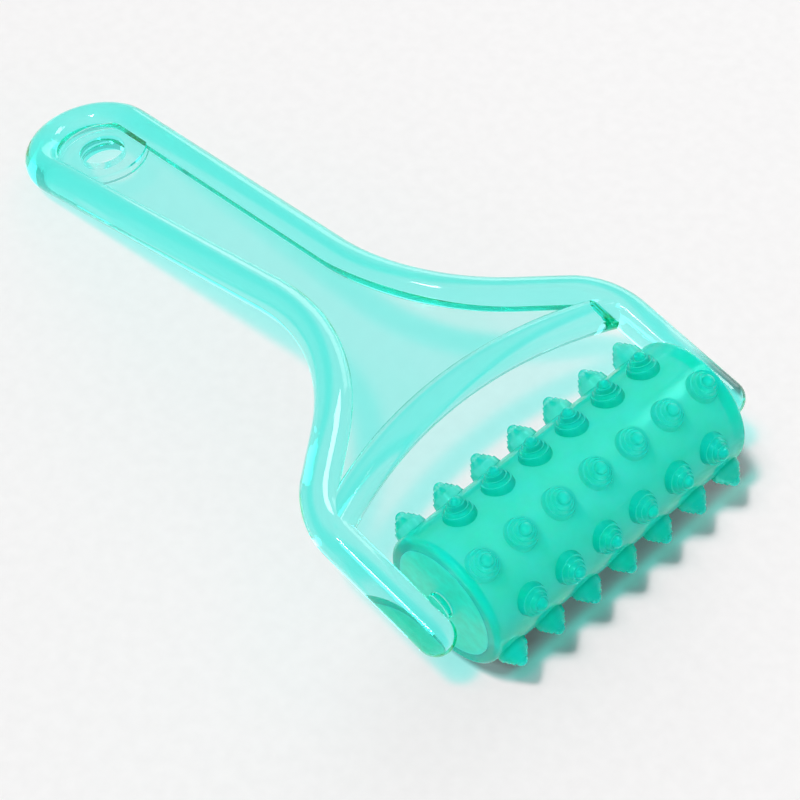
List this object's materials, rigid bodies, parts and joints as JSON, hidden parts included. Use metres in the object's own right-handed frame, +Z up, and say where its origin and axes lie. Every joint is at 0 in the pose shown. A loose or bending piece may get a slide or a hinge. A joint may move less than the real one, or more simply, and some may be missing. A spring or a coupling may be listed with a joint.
{
  "type": "foot massage roller",
  "caption": "Hand-held or floor massage roller: a soft studded roller spins between the two arms of a clear one-piece handle with a hang hole.",
  "frame": {"origin": "on the table under the middle of the part's bounding box, the part lying as it rests: handle tip and two rows of nubs on the table", "axes": "+Z up from the table, +X along the part from the handle's tip to the roller, +Y along the roller's axis"},
  "size_m": [0.1828, 0.0888, 0.0346],
  "materials": {
    "clear_handle": "clear aqua-tinted moulded plastic, polished",
    "soft_sleeve": "soft translucent green vinyl, satin",
    "hard_core": "hard translucent green plastic",
    "end_plug": "hard translucent green plastic"
  },
  "bodies": {
    "handle_body": {"handle": "clear_handle"},
    "roller": {"roller_sleeve": "soft_sleeve", "roller_core": "hard_core", "end_plug_near": "end_plug", "end_plug_far": "end_plug"}
  },
  "joints": [
    {"name": "roller_spin", "type": "hinge", "parent": "handle_body", "child": "roller", "pos_m": [0.07413, 0, 0.01728], "axis": [0, 1, 0], "continuous": true}
  ]
}
